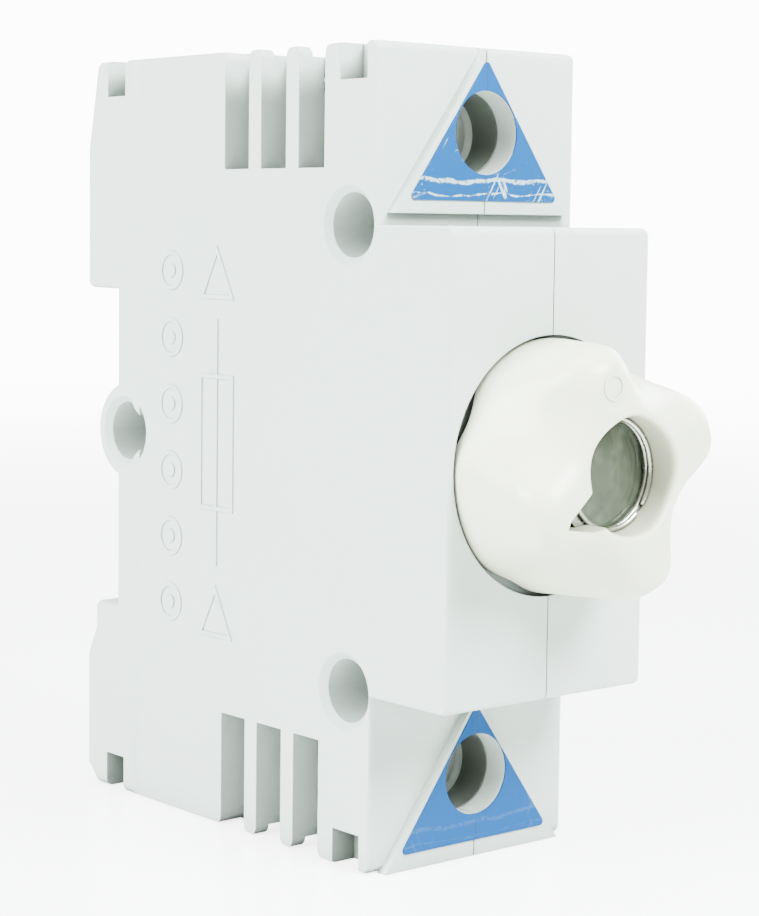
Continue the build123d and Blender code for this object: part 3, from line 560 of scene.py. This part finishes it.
# ---- screw cap ----
knobShape = {
    "lobes": 4,
    "hollowAngle": 65.0,      # middle of the first hollow
    "hollowRadius": 5.6 * mm,
    "floorFront": 8.1 * mm,   # axis to the hollow's floor at the front
    "floorBase": 14.4 * mm,
    "mouthRadius": 5.6 * mm,
    "mouthDepth": 3.5 * mm,
    "seatRadius": 6.55 * mm,
    "hollowBlend": 3.6 * mm,
    "rimBlend": 3.4 * mm,
    "mouthBlend": 0.7 * mm,
    "probeSlot": [            # corners in mm, from the cap's axis
        (-3.0, 1.6), (-5.3, -0.7), (-8.5, -3.6), (-8.7, -4.4), (-5.2, -4.9), (-1.5, -4.4),
    ],
    "slotFloor": 0.1 * mm,    # plastic left over the thread's shell
    "slotOverrun": 1 * mm,
    "markAngle": 110.0,
    "markReach": 9.0 * mm,
    "markRadius": 2.1 * mm,
    "markDepth": 0.16 * mm,
    "markBlend": 0.1 * mm,
    "shellPlay": 0.05 * mm,   # between the plastic and the thread's shell
    "sweepCentre": (7.2 * mm, 5.5 * mm),  # radius and depth of a point inside the plastic
    "sweepReach": 16 * mm,
    "sweepSteps": 40,         # halvings on each ray
    "around": 300,
    "along": 130,
}
markRing = {
    "outer": 1.35 * mm,
    "inner": 0.95 * mm,
    "soft": 0.1 * mm,
    "top": 0.02 * mm,         # depths behind the cap's front
    "shoulder": 0.07 * mm,
    "around": 64,
}


def softMax(a, b, width):
    near = np.clip(width - np.abs(a - b), 0, None) / width
    return np.maximum(a, b) + near * near * width / 4


def makeKnob(s, ring):
    low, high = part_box("cap_body")
    base = (high.x - low.x) / 2
    depth = high.y - low.y
    shellFront = span("cap_thread_shell", 1)[0] - low.y
    shellLeft, shellRight = span("cap_thread_shell", 0)
    shellRadius = (shellRight - shellLeft) / 2 + s["shellPlay"]
    markAngle = radians(s["markAngle"])
    markPlace = s["markReach"] * np.array((cos(markAngle), sin(markAngle)))

    def outside(x, z, d):  # below zero inside the plastic, d is the depth behind the front
        r = np.hypot(x, z)
        value = softMax(r - base, -d, s["rimBlend"])
        for i in range(s["lobes"]):
            angle = radians(s["hollowAngle"] + 360 / s["lobes"] * i)
            way = np.array((cos(angle), sin(angle)))
            front = s["floorFront"] + s["hollowRadius"]
            slope = (s["floorBase"] - s["floorFront"]) / depth
            lean = np.hypot(1, slope)
            across = x * way[1] - z * way[0]
            outward = (x * way[0] + z * way[1] - front - slope * d) / lean
            value = softMax(value, s["hollowRadius"] - np.hypot(across, outward), s["hollowBlend"])
        fromMark = np.hypot(x - markPlace[0], z - markPlace[1]) - s["markRadius"]
        value = softMax(value, -softMax(fromMark, d - s["markDepth"], s["markBlend"]), s["markBlend"])
        return softMax(value, s["mouthRadius"] - r, s["mouthBlend"])

    # each half section is swept by rays from one point inside the plastic
    centre = np.array(s["sweepCentre"])
    firstRay = np.arctan2(s["mouthDepth"] - centre[1], s["mouthRadius"] - centre[0])
    lastRay = np.arctan2(depth - centre[1], base - centre[0])
    rays = np.linspace(firstRay, lastRay, s["along"])
    turns = np.linspace(0, 2 * pi, s["around"], endpoint=False)
    turn, ray = np.meshgrid(turns, rays, indexing="ij")
    near = np.zeros_like(turn)
    far = np.full_like(turn, s["sweepReach"])
    for _ in range(s["sweepSteps"]):
        t = (near + far) / 2
        r = centre[0] + t * np.cos(ray)
        d = centre[1] + t * np.sin(ray)
        free = outside(r * np.cos(turn), r * np.sin(turn), d) > 0
        far = np.where(free, t, far)
        near = np.where(free, near, t)
    r = centre[0] + near * np.cos(ray)
    d = np.clip(centre[1] + near * np.sin(ray), 0, depth)
    inner = [
        (shellRadius, depth), (shellRadius, shellFront),
        (s["seatRadius"], shellFront), (s["seatRadius"], s["mouthDepth"]),
    ]
    points = []
    for i, angle in enumerate(turns):
        section = list(zip(r[i], d[i])) + inner
        points += [(q * cos(angle), low.y + e, fuseZ + q * sin(angle)) for q, e in section]
    faces = gridFaces(s["around"], s["along"] + len(inner), True, True)
    knob = makePiece("knob", points, faces, "knob", "screw_cap", "cap_ivory", ["cap_body"])

    outline = [(x * mm, fuseZ + z * mm) for x, z in s["probeSlot"]]
    cutWith(knob, *prism(outline, low.y - s["slotOverrun"], low.y + shellFront - s["slotFloor"]))

    # a plain raised ring in the round field
    rim = [
        (ring["outer"], s["markDepth"]), (ring["outer"], ring["shoulder"]),
        (ring["outer"] - ring["soft"], ring["top"]), (ring["inner"] + ring["soft"], ring["top"]),
        (ring["inner"], ring["shoulder"]), (ring["inner"], s["markDepth"]),
    ]
    centre = (markPlace[0], fuseZ + markPlace[1])
    points = turned([(q, low.y + e) for q, e in rim], ring["around"], centre)
    faces = gridFaces(ring["around"], len(rim), True, True)
    makePiece("knobMarkRing", points, faces, "knob", "screw_cap", "cap_ivory")


makeKnob(knobShape, markRing)

wireRing = {
    "radius": 5.3 * mm,
    "wire": 0.24 * mm,
    "seat": 0.98,             # share of the wire's radius that it stands off the window's ring
    "firstAngle": -38.0,
    "turnAngle": 348.0,
    "steps": 140,
}


def tube(points, radius, sides=12):  # closed round bar along a line of points, and its faces
    points = [Vector(p) for p in points]
    rings = []
    side = None
    for i, point in enumerate(points):
        ahead = (points[min(i + 1, len(points) - 1)] - points[max(i - 1, 0)]).normalized()
        side = ahead.orthogonal() if side is None else side - ahead * side.dot(ahead)
        side.normalize()
        other = ahead.cross(side)
        rings += [
            point + (side * cos(2 * pi * k / sides) + other * sin(2 * pi * k / sides)) * radius
            for k in range(sides)
        ]
    faces = gridFaces(len(points), sides, closeColumns=True)
    faces.append(tuple(range(sides)))
    faces.append(tuple(range(len(rings) - sides, len(rings))))
    return rings, faces


def makeWireRing(s):
    y = span("window_ring", 1)[0] - s["wire"] * s["seat"]
    line = []
    for i in range(s["steps"] + 1):
        angle = radians(s["firstAngle"] + s["turnAngle"] * i / s["steps"])
        line.append((s["radius"] * cos(angle), y, fuseZ + s["radius"] * sin(angle)))
    makePiece("windowWire", *tube(line, s["wire"]), "nickel", "cap_window", "nickel", sharp=60)


makeWireRing(wireRing)
print("screw cap made")


# ---- rolled threads ----
threadShape = {
    "pitch": 3.0 * mm,
    "depth": 0.4 * mm,
    "sheet": 0.4 * mm,
    "around": 120,
    "perTurn": 16,
    "fade": 1.2 * mm,
    "crestPower": 0.8,        # under 1 makes the crests broader than the roots
    "play": 0.01 * mm,        # keeps the crests inside the CAD node's outline
    "flangeBore": 6.4 * mm,
    "flangeSheet": 0.45 * mm,
    "flangeInset": 0.85 * mm,
}


def wave(turnsAlong):  # 0 in the root and 1 on the crest of a rounded thread
    return (0.5 - 0.5 * cos(2 * pi * turnsAlong)) ** threadShape["crestPower"]


def makeThreadShell(name, node, body, finish, slot, startY, endY, outerRoot, flange=None):
    s = threadShape
    rows = int((endY - startY) / s["pitch"] * s["perTurn"])
    steps = [startY + (endY - startY) * i / rows for i in range(rows + 1)]
    outer = [(1.0, y) for y in steps]
    inner = [(0.0, y) for y in reversed(steps)]

    def radiusAt(side, y, angle):
        if side not in (0.0, 1.0):
            return side
        fade = min(1, (y - startY) / s["fade"], (endY - y) / s["fade"])
        lift = wave((y - startY) / s["pitch"] - angle / (2 * pi)) * max(fade, 0)
        return outerRoot + s["depth"] * lift - (0 if side else s["sheet"])

    profile = outer + inner + (flange or [])
    points = turned(profile, s["around"], (0, fuseZ), radiusAt)
    makePiece(name, points, gridFaces(s["around"], len(profile), True, True), finish, body, slot, [node])


def shellSize(node):  # radius, front and end of a shell on the fuse's axis
    left, right = span(node, 0)
    return (right - left) / 2, *span(node, 1)


def makeCapThread(s):
    radius, front, end = shellSize("cap_thread_shell")
    flangeBack = front + s["flangeSheet"]
    makeThreadShell(
        "capThread", "cap_thread_shell", "screw_cap", "brass", "brass",
        front, end, radius - s["depth"] - s["play"],
        [(radius - s["flangeInset"], flangeBack), (s["flangeBore"], flangeBack), (s["flangeBore"], front)],
    )


def makeSocketThread(s):
    radius, front, end = shellSize("socket_thread_shell")
    makeThreadShell(
        "socketThread", "socket_thread_shell", "housing", "brass", "brass",
        front, end, radius - s["depth"] - s["play"],
    )


makeCapThread(threadShape)
makeSocketThread(threadShape)
print("threads made")


# ---- terminal screws ----
screwShape = {
    "shank": 2.5 * mm,
    "threadDepth": 0.42 * mm,
    "pitch": 0.8 * mm,
    "headChamfer": 0.35 * mm,
    "slotWidth": 1.0 * mm,
    "crossWidth": 1.15 * mm,
    "crossReach": 2.3 * mm,
    "recess": 1.3 * mm,
    "around": 48,
    "perTurn": 8,
    "headHeight": 2.5 * mm,
    "dish": 0.12 * mm,        # how far the head's face sinks, in the middle and part of the way out
    "dishEdge": 0.05 * mm,
    "dishShare": 0.45,
    "crown": 0.08 * mm,
    "underChamfer": 0.15 * mm,
    "neck": 0.25 * mm,        # plain shank before the thread
    "point": 0.5 * mm,
    "flankPower": 0.9,
    "cutOverrun": 0.5 * mm,
}


def makeScrew(end, s):
    node = end + "_screw"
    low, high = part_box(node)
    centre = (0.0, (low.z + high.z) / 2)
    head = (high.z - low.z) / 2
    chamfer = s["headChamfer"]
    under = low.y + s["headHeight"]
    profile = [
        (0.0, low.y + s["dish"]), (head * s["dishShare"], low.y + s["dishEdge"]),
        (head - 2 * chamfer, low.y), (head - chamfer, low.y + s["crown"]),
        (head - 0.3 * chamfer, low.y + 0.3 * chamfer), (head, low.y + chamfer),
        (head, under - s["underChamfer"]), (head - s["underChamfer"], under), (s["shank"], under),
    ]
    threadStart, threadEnd = under + s["neck"], high.y - s["point"]
    rows = int((threadEnd - threadStart) / s["pitch"] * s["perTurn"])
    threadRows = [threadStart + (threadEnd - threadStart) * i / rows for i in range(rows + 1)]
    profile += [(s["shank"], y) for y in threadRows]
    profile += [(s["shank"] - s["point"], high.y), (0.0, high.y)]

    def radiusAt(radius, y, angle):
        if radius != s["shank"] or not threadStart <= y <= threadEnd:
            return radius
        phase = ((y - threadStart) / s["pitch"] + angle / (2 * pi)) % 1
        return radius - s["threadDepth"] * (1 - abs(2 * phase - 1)) ** s["flankPower"]

    points = turned(profile, s["around"], centre, radiusAt)
    faces = gridFaces(s["around"], len(profile), closeRows=True)
    screw = makePiece(end + "TerminalScrew", points, faces, "zinc", "screw_" + end, "steel", [node])
    slot = (head + s["cutOverrun"], s["slotWidth"] / 2)
    cross = (s["crossWidth"] / 2, s["crossReach"])
    for halfX, halfZ in (slot, cross):
        corners = ((-halfX, -halfZ), (halfX, -halfZ), (halfX, halfZ), (-halfX, halfZ))
        outline = [(x, centre[1] + z) for x, z in corners]
        cutWith(screw, *prism(outline, low.y - s["cutOverrun"], low.y + s["recess"]))


for end in ("upper", "lower"):
    makeScrew(end, screwShape)
print("terminal screws made")


# ---- latch spring ----
springShape = {
    "wire": 0.225 * mm,
    "coils": 6,
    "closedCoils": 0.9,       # at each end
    "closedPitch": 2.1,       # in wire radii, so one closed coil lies on the next
    "stepsPerCoil": 28,
    "travel": 3.0 * mm,
}


def makeLatchSpring(s):
    low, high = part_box("latch_spring")
    centre = (low + high) / 2
    radius = (high.x - low.x) / 2 - s["wire"]
    bottom, top = low.z + s["wire"], high.z - s["wire"]
    turns = s["coils"] + 2 * s["closedCoils"]
    steps = int(turns * s["stepsPerCoil"])
    wireStep = s["closedPitch"] * s["wire"]
    openStep = (top - bottom - 2 * s["closedCoils"] * wireStep) / s["coils"]
    line = []
    z = bottom
    for i in range(steps + 1):
        turn = turns * i / steps
        line.append((centre.x + radius * cos(2 * pi * turn), centre.y + radius * sin(2 * pi * turn), z))
        closed = turn < s["closedCoils"] or turn > turns - s["closedCoils"]
        z += (wireStep if closed else openStep) * turns / steps
    points, faces = tube(line, s["wire"])
    spring = makePiece("latchSpring", points, faces, "zinc", "housing", "steel", ["latch_spring"], 60)
    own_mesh(spring)


makeLatchSpring(springShape)
print("latch spring made")


# ---- dark tubes in the screwdriver holes: painted shade deep in the holes ----
shadeSleeveShape = {
    "radius": 4.07 * mm,
    "wall": 0.14 * mm,
    "behindFace": 2.6 * mm,
    "length": 3.6 * mm,
    "rounding": 0.04 * mm,
    "around": 96,
}


def makeShadeSleeve(end, s):
    front = span("label_" + end, 1)[1] + s["behindFace"]
    rear = front + s["length"]
    outer, inner, soft = s["radius"], s["radius"] - s["wall"], s["rounding"]
    profile = [
        (outer, rear), (outer, front + soft), (outer - soft, front),
        (inner + soft, front), (inner, front + soft), (inner, rear),
    ]
    points = turned(profile, s["around"], (0.0, middle(end + "_screw", 2)))
    faces = gridFaces(s["around"], len(profile), True, True)
    makePiece(end + "ShadeSleeve", points, faces, "sleeve", "housing", "gauge_black")


for end in ("upper", "lower"):
    makeShadeSleeve(end, shadeSleeveShape)
print("shadeSleeves made")


# ---- studio ----
studio = {
    "tint": (0.87, 1.0, 0.95),
    "white": (1.0, 1.0, 1.0),
    "backdropGlow": 13.0,     # how bright the backdrop looks
    "ambient": 0.6,           # how much light it gives
    "floorColour": (0.8, 0.8, 0.795),
    "floorGlow": 4.2,
    "floorReach": 4.0,
    "fadeFrom": 0.12,
    "fadeTo": 0.7,
    "lights": {
        "keyLight": {"at": (0.05, -0.27, 0.2), "size": 0.16, "power": 4.6},
        "sideLight": {"at": (-0.8, 0.12, 0.4), "size": 0.6, "power": 40.0},
        "topLight": {"at": (0.0, 0.05, 0.95), "size": 0.7, "power": 14.0},
        "rightLight": {"at": (0.9, 0.1, 0.4), "size": 0.7, "power": 25.0},
    },
    "aim": (0.0, -0.03, 0.0),
}


def makeFloor(s):
    finish = Finish(bpy.data.materials.new("paleFloor"))
    raw = finish.node("ShaderNodeTexCoord", {}, {}, "Object")
    away = finish.node("ShaderNodeVectorMath", {"operation": "LENGTH"}, {0: raw}, "Value")
    seen = finish.node("ShaderNodeLightPath", {}, {}, "Is Camera Ray")
    far = [
        finish.node("ShaderNodeEmission", {}, {"Color": opaque(s["white"]), "Strength": s[key]})
        for key in ("ambient", "backdropGlow")
    ]
    finish.surface({
        "Base Color": s["floorColour"],
        "Roughness": finish.noise(finish.place(), 0.02, 3.0) * 0.1 + 0.16,
        "Specular IOR Level": 0.35,
        "Emission Color": finish.mix(seen, (0.0, 0.0, 0.0), s["white"]),
        "Emission Strength": s["floorGlow"],
    })
    near = Wire(finish, finish.tree.nodes["Principled BSDF"].outputs[0])
    backdrop = finish.node("ShaderNodeMixShader", {}, {0: seen, 1: far[0], 2: far[1]})
    fade = finish.step(away, s["fadeFrom"], s["fadeTo"])
    mixed = finish.node("ShaderNodeMixShader", {}, {0: fade, 1: near, 2: backdrop})
    finish.end("Material Output", mixed)
    reach = s["floorReach"]
    data = bpy.data.meshes.new("floor")
    corners = [(-reach, -reach), (reach, -reach), (reach, reach), (-reach, reach)]
    data.from_pydata([(x, y, 0) for x, y in corners], [], [(0, 1, 2, 3)])
    data.materials.append(finish.owner)
    floor = bpy.data.objects.new("floor", data)
    floor.location = (0, 0, floorZ - 0.05 * mm)
    bpy.context.scene.collection.objects.link(floor)


def makeLights(s):
    world = bpy.data.worlds.new("studio")
    sky = Finish(world)
    seen = sky.node("ShaderNodeLightPath", {}, {}, "Is Camera Ray")
    glows = [
        sky.node("ShaderNodeBackground", {}, {"Color": opaque(s["white"]), "Strength": s[key]})
        for key in ("ambient", "backdropGlow")
    ]
    sky.end("World Output", sky.node("ShaderNodeMixShader", {}, {0: seen, 1: glows[0], 2: glows[1]}))
    bpy.context.scene.world = world
    for name, light in s["lights"].items():
        data = bpy.data.lights.new(name, "AREA")
        data.shape = "DISK"
        data.size = light["size"]
        data.energy = light["power"]
        data.color = s["tint"]
        lamp = bpy.data.objects.new(name, data)
        lamp.location = light["at"]
        aim = Vector(s["aim"]) - Vector(light["at"])
        lamp.rotation_euler = aim.to_track_quat("-Z", "Y").to_euler()
        bpy.context.scene.collection.objects.link(lamp)


makeFloor(studio)
makeLights(studio)
print("studio lit")
